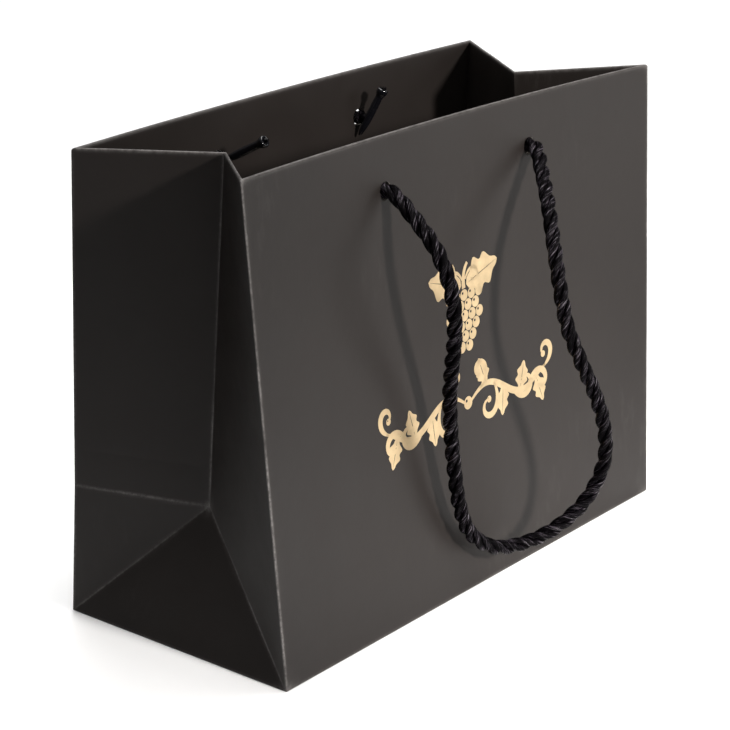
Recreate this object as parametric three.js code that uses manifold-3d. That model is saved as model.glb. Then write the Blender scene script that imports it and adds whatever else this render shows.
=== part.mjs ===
// Paper gift bag with twisted rope handles, in millimetres.
// +Z is up, the bag's width runs along X and the front panel faces -Y. The origin is the middle of the base.
// The bag is one folded sheet. Each panel between two creases is a mesh of its own, and so are the cards,
// the ropes and the toggles on their ends.
import * as THREE from "three";
import { mergeVertices } from "three/addons/utils/BufferGeometryUtils.js";
import Module from "manifold-3d";

// ---- Driving dimensions: the sheet ----
const panelHeight = 185; // along the paper, from the base fold to the top edge
const mouthWidth = 250;
const baseWidth = 239;
const baseDepth = 108;
const paper = 0.4; // laminated sheet
const foldGap = 0.6; // from the end of a panel to the crease line
const baseGap = 0.1; // from the foot of a wall to the base plane
const gussetFootGap = 1.5; // from the base corner to the foot of a front gusset half

// How far the top of each wall leans in over the base, and how far its middle is dished.
const frontLean = 11.2;
const backLeanLeft = 17.7;
const backLeanRight = 6.4;
const frontDish = 5.2; // towards the inside
const frontDishRise = 0.4; // share of the height over which the dish grows from nothing
const backBulge = 3.7; // towards the outside, at the top edge
const backCreaseTuck = 1.2; // the back crease sits this much further in than a straight wall

// ---- Driving dimensions: turned-in hem, cards and base ----
const hemDepth = 42;
const cardHeight = 36;
const cardThickness = 0.8;
const cardTopMargin = 1.2;
const layerGap = 0.3; // between sheets that lie on each other
const hemTopMargin = 0.4;
const hemSideMargin = 4.5;
const cardSideMargin = 7;
const baseBoard = 1.2;
const baseBoardMarginX = 3.2;
const baseBoardMarginY = 2;
const baseFlapLap = 12; // how far the front and back flaps pass the middle line
const baseFlapMargin = 1.4;
const sideFlapReach = 40;
const seamFlapWidth = 16;
const seamFlapEndMargin = 3;

// ---- Driving dimensions: handles ----
const ropeDiameter = 6;
const ropeSides = 10;
const ropeStep = 14; // length of one straight piece of a rope tube
const holeSpacing = 90;
const holeBelowTop = 20;
const holeClearance = 0.5; // all round the rope
const drillLength = 30;
const drillSides = 24;
const hingeGap = 0.3; // between two pieces of one rope
const tailInside = 1.6; // rope left inside the bag, past the hem
const tailOutside = 2.4; // rope that stays straight in front of the hole
const frontRootReach = [26, 30.5]; // rope from each hole to the second bend, which is one line across both
const backRootReach = [25, 26];
const toggleLength = 22;
const toggleRadius = 1.7;
const toggleTipRadius = 0.6;
const toggleFlareRadius = 2.3;
const toggleSides = 14;

// ---- Grid of the curved sheets ----
const wallSteps = 12; // across a wall
const frontRows = 10;
const backRows = 8;
const gussetSteps = 4;
const gussetRows = 8;
const hemRows = 3;

// The handles' free routes, hole to hole, as the ropes hang.
const frontRoute = [
  [-45, -52.5, 157], [-44.5, -63, 145.5], [-41.5, -67, 130.5], [-37.5, -65.5, 115],
  [-33.5, -61.5, 100.5], [-30, -58, 85.5], [-27, -56.5, 70.5], [-24, -56, 55],
  [-20.5, -56, 39.5], [-14, -56.5, 26], [-2.5, -60, 17], [11.5, -65.5, 15.8],
  [24, -73, 21.3], [33.5, -79.5, 32], [37.5, -83.5, 46.5], [35.5, -84, 62],
  [30, -82.5, 77], [23.5, -80, 91], [19, -76.5, 105.5], [18.5, -73, 121],
  [22, -67.5, 135.5], [29, -60, 147.5], [37.5, -51, 157.5],
];
const backRoute = [
  [-45.5, 58, 158.5], [-44.5, 67.5, 147], [-42, 71.5, 132], [-39, 71, 116.5],
  [-37.5, 69, 101], [-37, 67, 85.5], [-36.5, 65.5, 70], [-35, 64.5, 54.5],
  [-31, 63.5, 39.5], [-22.5, 63, 27], [-10, 62.8, 19.5], [5, 63, 18.5],
  [19.5, 63.5, 23.5], [30.5, 64.5, 34.5], [36, 66, 49], [38, 67.5, 64.5],
  [38.5, 69.5, 80], [38.5, 71.5, 95.5], [39, 73.5, 111], [40, 75, 126.5],
  [42.5, 74, 142], [45, 68, 155],
];

// ---- Finishes ----
const finish = (color, roughness) => new THREE.MeshStandardMaterial({ color, roughness });
const laminate = finish(0x2b2826, 0.42);
const reverse = finish(0x34302d, 0.85);
const greyboard = finish(0x6d675f, 0.9);
const cord = finish(0x08070a, 0.5);
const plastic = finish(0x050506, 0.2);

const wasm = await Module();
wasm.setup();

// ---- Small vector helpers ----
const vec = (x, y, z) => new THREE.Vector3(x, y, z);
const lerp = (a, b, t) => a + (b - a) * t;
const along = (a, b, t) => a.clone().lerp(b, t);

// The point at given distances from three others, on the side that `inward` points to.
function threeDistances(centres, distances, inward) {
  const [a, b, c] = centres;
  const ex = b.clone().sub(a).normalize();
  const i = ex.dot(c.clone().sub(a));
  const ey = c.clone().sub(a).addScaledVector(ex, -i).normalize();
  const ez = ex.clone().cross(ey);
  const d = b.distanceTo(a);
  const j = ey.dot(c.clone().sub(a));
  const [ra, rb, rc] = distances;
  const x = (ra * ra - rb * rb + d * d) / (2 * d);
  const y = (ra * ra - rc * rc + i * i + j * j - 2 * i * x) / (2 * j);
  const z = Math.sqrt(Math.max(0, ra * ra - x * x - y * y)) * Math.sign(ez.dot(inward));
  return a.clone().addScaledVector(ex, x).addScaledVector(ey, y).addScaledVector(ez, z);
}

// ---- Corners of the folded sheet ----
const creaseHeight = baseDepth / 2; // the base folds over at half its depth
const backLean = (share) => lerp(backLeanLeft, backLeanRight, share);
const risen = (lean) => Math.sqrt(panelHeight ** 2 - lean ** 2);
const frontTopZ = risen(frontLean);

function cornersOf(side) {
  const lean = backLean(side < 0 ? 0 : 1);
  const frontFoot = vec((side * baseWidth) / 2, -baseDepth / 2, 0);
  const backFoot = vec((side * baseWidth) / 2, baseDepth / 2, 0);
  const frontTop = vec((side * mouthWidth) / 2, -baseDepth / 2 + frontLean, frontTopZ);
  const backTop = vec((side * mouthWidth) / 2, baseDepth / 2 - lean, risen(lean));
  const knee = along(backFoot, backTop, creaseHeight / panelHeight).add(vec(0, -backCreaseTuck, 0));
  const inward = vec(-side, 0, 0);
  const diagonal = creaseHeight * Math.SQRT2;
  const star = threeDistances([frontFoot, backFoot, knee], [diagonal, diagonal, creaseHeight], inward);
  const creaseTop = threeDistances(
    [frontTop, backTop, star],
    [creaseHeight, creaseHeight, panelHeight - creaseHeight],
    inward,
  );
  return { frontFoot, backFoot, frontTop, backTop, knee, star, creaseTop };
}
const left = cornersOf(-1);
const right = cornersOf(1);

// ---- Surfaces ----
// Across runs from 0 at the left to 1 at the right; up is the length of paper above the base.
function easeOut(t) {
  const c = Math.min(1, Math.max(0, t));
  return c * (2 - c);
}
const arch = (across) => 1 - (2 * across - 1) ** 2;

function frontWall(across, up) {
  const share = up / panelHeight;
  const leftEdge = along(left.frontFoot, left.frontTop, share);
  const rightEdge = along(right.frontFoot, right.frontTop, share);
  const p = along(leftEdge, rightEdge, across);
  p.y += frontDish * easeOut(share / frontDishRise) * arch(across);
  return p;
}

function backWall(across, up) {
  const below = up < creaseHeight;
  const [low, high] = below ? ["backFoot", "knee"] : ["knee", "backTop"];
  const share = below ? up / creaseHeight : (up - creaseHeight) / (panelHeight - creaseHeight);
  const p = along(along(left[low], left[high], share), along(right[low], right[high], share), across);
  if (!below) p.y += backBulge * share * arch(across);
  return p;
}

// A gusset half lies between an outer edge and the middle crease; the paper twists evenly between them.
const quad = (footA, footB, topA, topB) => (across, share) => (
  along(along(footA, topA, share), along(footB, topB, share), across)
);

// ---- Solids ----
// A sheet of even thickness: a grid over surface(u, v), moved `offset` along the normal that points
// to the `inside`.
function sheetGeometry(surface, [u0, u1, nu], [v0, v1, nv], inside, offset = 0, thickness = paper) {
  const layers = [[], []];
  const e = 1e-3; // share of the sheet over which its slope is taken
  for (let j = 0; j <= nv; j += 1) {
    for (let i = 0; i <= nu; i += 1) {
      const u = lerp(u0, u1, i / nu);
      const v = lerp(v0, v1, j / nv);
      const du = surface(u + e * (u1 - u0), v).sub(surface(u - e * (u1 - u0), v));
      const dv = surface(u, v + e * (v1 - v0)).sub(surface(u, v - e * (v1 - v0)));
      const normal = du.cross(dv).normalize();
      if (normal.dot(inside) < 0) normal.negate();
      layers[0].push(surface(u, v).addScaledVector(normal, offset - thickness / 2));
      layers[1].push(surface(u, v).addScaledVector(normal, offset + thickness / 2));
    }
  }
  const at = (layer, i, j) => layers[layer][j * (nu + 1) + i];
  const triangles = [];
  const four = (a, b, c, d) => triangles.push([a, b, c], [a, c, d]);
  for (let j = 0; j < nv; j += 1) {
    for (let i = 0; i < nu; i += 1) {
      four(at(0, i, j), at(0, i, j + 1), at(0, i + 1, j + 1), at(0, i + 1, j));
      four(at(1, i, j), at(1, i + 1, j), at(1, i + 1, j + 1), at(1, i, j + 1));
    }
  }
  for (let i = 0; i < nu; i += 1) {
    four(at(0, i, 0), at(0, i + 1, 0), at(1, i + 1, 0), at(1, i, 0));
    four(at(0, i + 1, nv), at(0, i, nv), at(1, i, nv), at(1, i + 1, nv));
  }
  for (let j = 0; j < nv; j += 1) {
    four(at(0, 0, j + 1), at(0, 0, j), at(1, 0, j), at(1, 0, j + 1));
    four(at(0, nu, j), at(0, nu, j + 1), at(1, nu, j + 1), at(1, nu, j));
  }
  return facingOut(triangles);
}

// A flat plate on a polygon of points, its edges drawn in by the given margins.
function plateGeometry(points, margins, inside, offset = 0, thickness = paper) {
  const normal = points[1].clone().sub(points[0]).cross(points[2].clone().sub(points[0])).normalize();
  const turned = normal.dot(inside) < 0;
  const up = turned ? normal.clone().negate() : normal;
  const count = points.length;
  const lines = points.map((p, i) => {
    const direction = points[(i + 1) % count].clone().sub(p).normalize();
    const into = normal.clone().cross(direction);
    return { base: p.clone().addScaledVector(into, margins[i]), direction, into };
  });
  const drawn = lines.map((line, i) => {
    const previous = lines[(i + count - 1) % count];
    const t = line.base.clone().sub(previous.base).dot(line.into) / previous.direction.dot(line.into);
    return previous.base.clone().addScaledVector(previous.direction, t);
  });
  const low = drawn.map((p) => p.clone().addScaledVector(up, offset - thickness / 2));
  const high = drawn.map((p) => p.clone().addScaledVector(up, offset + thickness / 2));
  const triangles = [];
  for (let i = 1; i + 1 < count; i += 1) {
    triangles.push([low[0], low[i + 1], low[i]], [high[0], high[i], high[i + 1]]);
  }
  for (let i = 0; i < count; i += 1) {
    const k = (i + 1) % count;
    triangles.push([low[i], low[k], high[k]], [low[i], high[k], high[i]]);
  }
  return facingOut(triangles);
}

// Turns a closed triangle list round when its faces point inwards.
function facingOut(triangles) {
  const volume = triangles.reduce((sum, [a, b, c]) => sum + a.dot(b.clone().cross(c)), 0);
  const flat = triangles.flatMap(([a, b, c]) => (volume < 0 ? [a, c, b] : [a, b, c]));
  return new THREE.BufferGeometry().setFromPoints(flat);
}

// A closed mesh as a solid that can be cut, and back.
function toSolid(geometry) {
  const bare = geometry.index ? geometry.toNonIndexed() : geometry.clone();
  bare.deleteAttribute("normal");
  bare.deleteAttribute("uv");
  const merged = mergeVertices(bare, 1e-4);
  const vertProperties = merged.attributes.position.array;
  const triVerts = new Uint32Array(merged.index.array);
  return new wasm.Manifold(new wasm.Mesh({ numProp: 3, vertProperties, triVerts }));
}

function toGeometry(solid) {
  const mesh = solid.getMesh();
  const geometry = new THREE.BufferGeometry();
  geometry.setAttribute("position", new THREE.BufferAttribute(new Float32Array(mesh.vertProperties), 3));
  geometry.setIndex(new THREE.BufferAttribute(new Uint32Array(mesh.triVerts), 1));
  return geometry.toNonIndexed();
}

// Two punched holes, straight through in Y.
const holeCentres = (wall) => [-1, 1].map((side) => {
  const width = lerp(baseWidth, mouthWidth, 1 - holeBelowTop / panelHeight);
  return wall(0.5 + (side * holeSpacing) / 2 / width, panelHeight - holeBelowTop);
});
const frontHoles = holeCentres(frontWall);
const backHoles = holeCentres(backWall);

function punched(geometry, holes) {
  const radius = ropeDiameter / 2 + holeClearance;
  const drill = new THREE.CylinderGeometry(radius, radius, drillLength, drillSides);
  return toGeometry(holes.reduce((solid, { x, y, z }) => {
    const tool = toSolid(drill.clone().translate(x, y, z));
    return solid.subtract(tool);
  }, toSolid(geometry)));
}

// ---- Part list ----
const bag = new THREE.Group();
function add(name, geometry, material) {
  geometry.computeVertexNormals();
  const mesh = new THREE.Mesh(geometry, material);
  mesh.name = name;
  bag.add(mesh);
}

const inFromFront = vec(0, 1, 0);
const inFromBack = vec(0, -1, 0);
const wallAcross = (margin, steps = wallSteps) => [margin / baseWidth, 1 - margin / baseWidth, steps];

// ---- Outer panels ----
add("front_panel", punched(
  sheetGeometry(frontWall, wallAcross(foldGap), [baseGap, panelHeight, frontRows], inFromFront),
  frontHoles,
), laminate);
add("back_panel_lower", sheetGeometry(
  backWall, wallAcross(foldGap, 1), [baseGap, creaseHeight - foldGap, 1], inFromBack), laminate);
add("back_panel_upper", punched(
  sheetGeometry(backWall, wallAcross(foldGap), [creaseHeight + foldGap, panelHeight, backRows], inFromBack),
  backHoles,
), laminate);

function addGusset(side, sideName) {
  const c = side < 0 ? left : right;
  const inward = vec(-side, 0, 0);
  const upperLength = panelHeight - creaseHeight;
  const gapAcross = foldGap / creaseHeight;
  const between = [gapAcross, 1 - gapAcross, gussetSteps];
  const frontUp = [gussetFootGap / upperLength, 1, gussetRows];
  const backUp = [foldGap / upperLength, 1, gussetRows];
  const frontHalf = quad(c.frontFoot, c.star, c.frontTop, c.creaseTop);
  const backHalf = quad(c.knee, c.star, c.backTop, c.creaseTop);
  add(`${sideName}_gusset_front`, sheetGeometry(frontHalf, between, frontUp, inward), laminate);
  add(`${sideName}_gusset_back`, sheetGeometry(backHalf, between, backUp, inward), laminate);
  add(`${sideName}_gusset_side_triangle`, plateGeometry(
    [c.knee, c.star, c.backFoot], [foldGap, foldGap, foldGap], inward), laminate);
  add(`${sideName}_gusset_base_triangle`, plateGeometry(
    [c.frontFoot, c.star, c.backFoot], [foldGap, foldGap, baseGap], inward), laminate);
  // The turned-in hem, a second layer behind the top of each half.
  const foldedAcross = [hemSideMargin / creaseHeight, 1 - gapAcross, gussetSteps];
  const hemOffset = paper + layerGap;
  for (const [half, surface, outerLength] of [
    ["front", frontHalf, panelHeight],
    ["back", backHalf, upperLength],
  ]) {
    const shareOf = (depth, across) => depth * lerp(1 / outerLength, 1 / upperLength, across);
    const folded = (across, depth) => surface(across, 1 - shareOf(depth, across));
    const geometry = sheetGeometry(folded, foldedAcross, [hemDepth, hemTopMargin, hemRows], inward, hemOffset);
    add(`${sideName}_hem_${half}`, geometry, laminate);
  }
}
addGusset(-1, "left");
addGusset(1, "right");

// ---- Top cards and the hem folded down over them ----
const cardOffset = paper / 2 + layerGap + cardThickness / 2;
const hemOverCard = cardOffset + cardThickness / 2 + layerGap + paper / 2;
const cardUp = [panelHeight - cardTopMargin - cardHeight, panelHeight - cardTopMargin, 2];
const hemUp = [panelHeight - hemDepth, panelHeight - hemTopMargin, 2];
for (const [name, wall, inside, holes] of [
  ["front", frontWall, inFromFront, frontHoles],
  ["back", backWall, inFromBack, backHoles],
]) {
  const card = sheetGeometry(wall, wallAcross(cardSideMargin), cardUp, inside, cardOffset, cardThickness);
  const hem = sheetGeometry(wall, wallAcross(hemSideMargin), hemUp, inside, hemOverCard);
  add(`${name}_top_card`, punched(card, holes), greyboard);
  add(`${name}_hem`, punched(hem, holes), laminate);
}

// ---- Side seam: the strip of the sheet that is glued inside the right end of the back panel ----
const seamEnd = 1 - hemSideMargin / baseWidth;
const seamStart = seamEnd - seamFlapWidth / baseWidth;
add("side_seam_flap", sheetGeometry(
  backWall,
  [seamStart, seamEnd, 1],
  [creaseHeight + seamFlapEndMargin, panelHeight - hemDepth - seamFlapEndMargin, 1],
  inFromBack, paper + layerGap), reverse);

// ---- Folded base: two side flaps, the lapped front and back flaps, and the loose board inside ----
const level = (index) => index * (paper + layerGap) + paper / 2;
const floorUp = vec(0, 0, 1);
function addBaseFlap(name, outline, index, margin, material) {
  const points = outline.map(([x, y]) => vec(x, y, level(index)));
  add(name, plateGeometry(points, points.map(() => margin), floorUp), material);
}
const footX = baseWidth / 2;
const footY = baseDepth / 2;
for (const [name, facing, index, margin] of [
  ["base_flap_front", -1, 0, foldGap],
  ["base_flap_back", 1, 1, baseFlapMargin],
]) {
  const reach = footY + baseFlapLap;
  addBaseFlap(name, [
    [-footX, facing * footY], [footX, facing * footY],
    [footX - reach, -facing * baseFlapLap], [-footX + reach, -facing * baseFlapLap],
  ], index, margin, laminate);
}
for (const [name, side] of [["base_flap_left", -1], ["base_flap_right", 1]]) {
  const innerX = side * (footX - sideFlapReach);
  const innerY = footY - sideFlapReach;
  const outline = [[side * footX, -footY], [side * footX, footY], [innerX, innerY], [innerX, -innerY]];
  addBaseFlap(name, outline, 2, baseFlapMargin, reverse);
}
const boardWidth = baseWidth - 2 * baseBoardMarginX;
const boardDepth = baseDepth - 2 * baseBoardMarginY;
const board = new THREE.BoxGeometry(boardWidth, boardDepth, baseBoard);
board.translate(0, 0, level(2) + paper / 2 + layerGap + baseBoard / 2);
add("base_board", board.toNonIndexed(), greyboard);

// ---- Rope handles ----
const ropeSection = new THREE.Shape(Array.from({ length: ropeSides }, (_, i) => {
  const a = (2 * Math.PI * i) / ropeSides;
  return new THREE.Vector2((ropeDiameter / 2) * Math.cos(a), (ropeDiameter / 2) * Math.sin(a));
}));

// One stretch of a rope, between two distances along its whole line, squared off to that line at both ends.
class Stretch extends THREE.Curve {
  constructor(line, from, to) {
    super();
    Object.assign(this, { line, from, to, total: line.getLength() });
  }
  getPoint(t, target = vec(0, 0, 0)) {
    return target.copy(this.line.getPointAt(lerp(this.from, this.to, t) / this.total));
  }
  getTangent(t, target = vec(0, 0, 0)) {
    return target.copy(this.line.getTangentAt(lerp(this.from, this.to, t) / this.total));
  }
}

function ropeGeometry(line, from, to) {
  const steps = Math.max(1, Math.round((to - from) / ropeStep));
  const extrudePath = new Stretch(line, from, to);
  return new THREE.ExtrudeGeometry(ropeSection, { steps, bevelEnabled: false, extrudePath });
}

// A toggle: a slim moulded bar, pointed at one end and flared where it grips the cut end of the rope.
function toggleGeometry(foot, head) {
  // Radius, then share of the length.
  const profile = [
    [0, 0], [toggleTipRadius, 0.01], [toggleRadius * 0.8, 0.2], [toggleRadius, 0.4],
    [toggleRadius * 0.92, 0.8], [toggleFlareRadius, 0.94], [toggleFlareRadius, 0.98],
    [toggleFlareRadius * 0.8, 1], [0, 1],
  ].map(([radius, share]) => new THREE.Vector2(radius, share * toggleLength));
  const geometry = new THREE.LatheGeometry(profile, toggleSides);
  const direction = head.clone().sub(foot).normalize();
  geometry.applyQuaternion(new THREE.Quaternion().setFromUnitVectors(vec(0, 1, 0), direction));
  return geometry.translate(foot.x, foot.y, foot.z).toNonIndexed();
}

// Each toggle lies along its direction, `off` from the cut end of the rope's tail, with `before` of its
// length on the pointed side of the rope.
function addHandle(name, holes, route, insideSign, reach, toggles) {
  const inside = hemOverCard + paper / 2 + tailInside;
  const outside = paper / 2 + tailOutside;
  const ends = holes.map((hole) => hole.clone().add(vec(0, insideSign * inside, 0)));
  const mouths = holes.map((hole) => hole.clone().add(vec(0, -insideSign * outside, 0)));
  const routePoints = route.map(([x, y, z]) => vec(x, y, z));
  const line = new THREE.CatmullRomCurve3(
    [ends[0], mouths[0], ...routePoints, mouths[1], ends[1]], false, "centripetal");
  line.arcLengthDivisions = 2000;
  const total = line.getLength();
  const tail = inside + outside;
  const rootLeft = tail + reach[0];
  const rootRight = total - tail - reach[1];
  add(`${name}_rope_tail_left`, ropeGeometry(line, 0, tail), cord);
  add(`${name}_rope_root_left`, ropeGeometry(line, tail + hingeGap, rootLeft), cord);
  add(`${name}_rope_loop`, ropeGeometry(line, rootLeft + hingeGap, rootRight - hingeGap), cord);
  add(`${name}_rope_root_right`, ropeGeometry(line, rootRight, total - tail - hingeGap), cord);
  add(`${name}_rope_tail_right`, ropeGeometry(line, total - tail, total), cord);
  ends.forEach((end, i) => {
    const { before, off } = toggles[i];
    const direction = vec(...toggles[i].direction).normalize();
    const middle = end.clone().add(vec(0, insideSign * off, 0));
    const foot = middle.clone().addScaledVector(direction, -toggleLength * before);
    const head = middle.clone().addScaledVector(direction, toggleLength * (1 - before));
    add(`${name}_toggle_${i === 0 ? "left" : "right"}`, toggleGeometry(foot, head), plastic);
  });
}
addHandle("front", frontHoles, frontRoute, 1, frontRootReach, [
  { direction: [0.55, 0.12, 0.83], before: 0.36, off: 2.6 },
  { direction: [-0.35, 0.1, 0.93], before: 0.36, off: 2.6 },
]);
addHandle("back", backHoles, backRoute, -1, backRootReach, [
  { direction: [0.14, -0.88, 0.46], before: 0.03, off: 2.2 },
  { direction: [0.28, -0.36, 0.89], before: 0.36, off: 3.4 },
]);

export default bag;
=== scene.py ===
"""Paper gift bag with rope handles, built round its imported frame. Lengths are in metres, +Z is up."""
import math

import bpy
import numpy as np
from bpy.props import FloatProperty, FloatVectorProperty, PointerProperty
from mathutils import Matrix, Vector


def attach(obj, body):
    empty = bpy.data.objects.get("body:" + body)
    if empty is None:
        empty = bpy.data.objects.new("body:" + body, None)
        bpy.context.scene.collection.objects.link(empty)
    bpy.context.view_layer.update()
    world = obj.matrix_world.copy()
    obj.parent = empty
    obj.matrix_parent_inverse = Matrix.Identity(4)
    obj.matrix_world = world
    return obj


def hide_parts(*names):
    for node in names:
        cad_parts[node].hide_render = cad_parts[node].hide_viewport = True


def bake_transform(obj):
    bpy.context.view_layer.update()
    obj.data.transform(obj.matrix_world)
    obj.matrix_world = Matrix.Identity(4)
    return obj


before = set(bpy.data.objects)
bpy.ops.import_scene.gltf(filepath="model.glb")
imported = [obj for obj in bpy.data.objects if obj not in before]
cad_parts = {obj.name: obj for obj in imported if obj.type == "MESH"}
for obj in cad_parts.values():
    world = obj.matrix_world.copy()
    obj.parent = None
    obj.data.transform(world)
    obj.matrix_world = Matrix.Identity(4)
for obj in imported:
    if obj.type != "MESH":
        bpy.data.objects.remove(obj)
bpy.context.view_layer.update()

bl_info = {
    "name": "Paper gift bag",
    "version": (1, 0, 0),
    "blender": (4, 5, 0),
    "location": "3D View > Sidebar > Gift Bag",
    "description": "Folded paper bag with twisted rope handles and a foil vine",
    "category": "Add Mesh",
}

MM = 0.001
SEED = 11

# ---- Fixed places: how the paper leans, and how the ropes hang ----
FRONT_LEAN = 11.2 * MM
BACK_LEAN = {-1: 17.7 * MM, 1: 6.4 * MM}
FRONT_DISH = 5.2 * MM
DISH_RISE = 0.4  # share of the height over which the dish grows
BACK_BULGE = 3.7 * MM
CREASE_TUCK = 1.2 * MM
# How the soft fold of each side strays from a stiff one, at the star and at the top of the crease.
GIVE = {
    -1: np.array([[0, 2.6, 0], [0, 1.0, 1.9]]) * MM,
    1: np.array([[0, 0, 0], [0, 0.5, -1.5]]) * MM,
}
HEM_STACK = 3.6 * MM  # from a wall's middle to the rope's cut end inside
ROPE_STRAIGHT = 2.6 * MM  # from a wall's middle to where the rope begins to bend
FRONT_ROUTE = np.array([
    [-45, -52.5, 157], [-44.5, -63, 145.5], [-41.5, -67, 130.5], [-37.5, -65.5, 115],
    [-33.5, -61.5, 100.5], [-30, -58, 85.5], [-27, -56.5, 70.5], [-24, -56, 55],
    [-20.5, -56, 39.5], [-14, -56.5, 26], [-2.5, -60, 17], [11.5, -65.5, 15.8],
    [24, -73, 21.3], [33.5, -79.5, 32], [37.5, -83.5, 46.5], [35.5, -84, 62],
    [30, -82.5, 77], [23.5, -80, 91], [19, -76.5, 105.5], [18.5, -73, 121],
    [22, -67.5, 135.5], [29, -60, 147.5], [37.5, -51, 157.5],
]) * MM
BACK_ROUTE = np.array([
    [-45.5, 58, 158.5], [-44.5, 67.5, 147], [-42, 71.5, 132], [-39, 71, 116.5],
    [-37.5, 69, 101], [-37, 67, 85.5], [-36.5, 65.5, 70], [-35, 64.5, 54.5],
    [-31, 63.5, 39.5], [-22.5, 63, 27], [-10, 62.8, 19.5], [5, 63, 18.5],
    [19.5, 63.5, 23.5], [30.5, 64.5, 34.5], [36, 66, 49], [38, 67.5, 64.5],
    [38.5, 69.5, 80], [38.5, 71.5, 95.5], [39, 73.5, 111], [40, 75, 126.5],
    [42.5, 74, 142], [45, 68, 155],
]) * MM
# Each toggle's direction, the share of it before the rope, and how far it lies past the rope's cut end.
TOGGLES = {
    "front": [((0.55, 0.12, 0.83), 0.36, 2.6 * MM), ((-0.35, 0.1, 0.93), 0.36, 2.6 * MM)],
    "back": [((0.14, -0.88, 0.46), 0.03, 2.2 * MM), ((0.28, -0.36, 0.89), 0.36, 3.4 * MM)],
}
LEG_REACH = 16 * MM  # rope of each leg past its straight part

# ---- Paper details ----
TOP_ROLL = 0.6 * MM  # depth over which the paper rolls over the top edge
CARD_END = 37.5 * MM  # below the top edge: where the card inside the hem ends
CARD_STEP = 3 * MM
HEM_SHIFTS = {  # how far the hem lies inside the wall, at a corner (x, y) and at a middle crease (x)
    "over_card": (2.6 * MM, 1.8 * MM, 0.95 * MM),
    "under_card": (1.15 * MM, 0.5 * MM, 0.7 * MM),
}
HOLE_BLOCK = 7 * MM  # half the side of the square of mesh round a hole
HOLE_RINGS = (0.45, 0.8, 0.95, 1.0)  # steps from that square to the hole's circle
SUPPORTS = np.array([0.4, 1.0, 2.2]) * MM  # lines of mesh beside a fold
ROLL_TURNS = np.radians([25, 55, 90, 125, 155])  # lines of mesh over the rolled top
# Even lines of mesh: across a wall and half a gusset, up the walls, down the hem, below the crease, front to back.
WALL_COLUMNS, GUSSET_COLUMNS, WALL_ROWS, HEM_ROWS, FOOT_ROWS, DEPTH_COLUMNS = 30, 10, 22, 6, 8, 12
FOOT_TUCK = 0.8 * MM  # how far the sheet turns in under the walls
FOOT_LIFT = 0.25 * MM
PRESS_LINE = 15 * MM  # a pressed line above the gusset's crease
PRESS_DEPTH = 0.14 * MM
PRESS_REACH = 0.55 * MM
WAVE_HEIGHT = 0.09 * MM
GUSSET_OUT = (0.73, 0.68)  # across and along the bag: which way a half gusset faces


def size(name, description, default):
    return FloatProperty(name=name, description=description, default=default, unit="LENGTH")


def colour(name, description, default):
    return FloatVectorProperty(name=name, description=description, default=default, subtype="COLOR")


class GiftBagSizes(bpy.types.PropertyGroup):
    panel_height: size("Panel height", "Paper from the base fold to the top edge", 0.185)
    mouth_width: size("Mouth width", "Width of the front at its top edge", 0.250)
    base_width: size("Base width", "Width of the front at its foot", 0.239)
    base_depth: size("Base depth", "Depth of the base, front to back", 0.108)
    paper: size("Paper", "Thickness of the laminated sheet", 0.0004)
    hem_depth: size("Hem depth", "How far the top is turned in", 0.042)
    hole_spacing: size("Hole spacing", "Between the two holes of one rope", 0.090)
    hole_below_top: size("Hole depth", "From the top edge down to a hole", 0.020)
    hole_radius: size("Hole radius", "Radius of a punched hole", 0.0035)
    rope_diameter: size("Rope", "Diameter of the twisted rope", 0.006)
    rope_lay: size("Rope lay", "Rope length of one full turn of a strand", 0.021)
    toggle_length: size("Toggle", "Length of a toggle", 0.022)
    toggle_radius: size("Toggle radius", "Radius of a toggle at its middle", 0.0017)


class GiftBagColours(bpy.types.PropertyGroup):
    laminate: colour("Laminate", "Matt outside of the sheet", (0.0132, 0.0108, 0.0097))
    reverse: colour("Reverse", "Unprinted back of the sheet", (0.075, 0.066, 0.058))
    core: colour("Paper core", "Raw paper at a cut edge", (0.62, 0.58, 0.53))
    # This pale colour marks cracking and rubbing, and also stands in for a painted highlight along the front's
    # side edges and the top edge.
    wear_and_highlight: colour("Worn fold", "Paper where a fold has cracked", (0.34, 0.32, 0.31))
    rope: colour("Rope", "Black twisted rope", (0.0026, 0.0020, 0.0028))
    toggle: colour("Toggle", "Moulded plastic", (0.0025, 0.0025, 0.0035))
    board: colour("Board", "Greyboard", (0.30, 0.27, 0.235))
    foil: colour("Foil", "Stamped foil", (0.66, 0.50, 0.295))


# ---- The folded sheet ----
def unit(v):
    """Each vector at length one."""
    v = np.asarray(v, float)
    return v / np.linalg.norm(v, axis=-1, keepdims=True)


def bell(distance, reach):
    return np.exp(-((distance / reach) ** 2))


def closed(grid):
    """A grid that goes round, with its first column again after its last."""
    return np.concatenate([grid, grid[:, :1]], 1)


def three_lengths(centres, lengths, inward):
    """The point at the given lengths from three centres, on the side that inward points to."""
    a, b, c = centres
    ex = unit(b - a)
    i = ex @ (c - a)
    ey = unit((c - a) - i * ex)
    ez = np.cross(ex, ey)
    d, j = np.linalg.norm(b - a), ey @ (c - a)
    ra, rb, rc = lengths
    x = (ra**2 - rb**2 + d**2) / (2 * d)
    y = (ra**2 - rc**2 + i**2 + j**2 - 2 * i * x) / (2 * j)
    z = math.sqrt(max(0.0, ra**2 - x**2 - y**2)) * np.sign(ez @ inward)
    return a + ex * x + ey * y + ez * z


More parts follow.
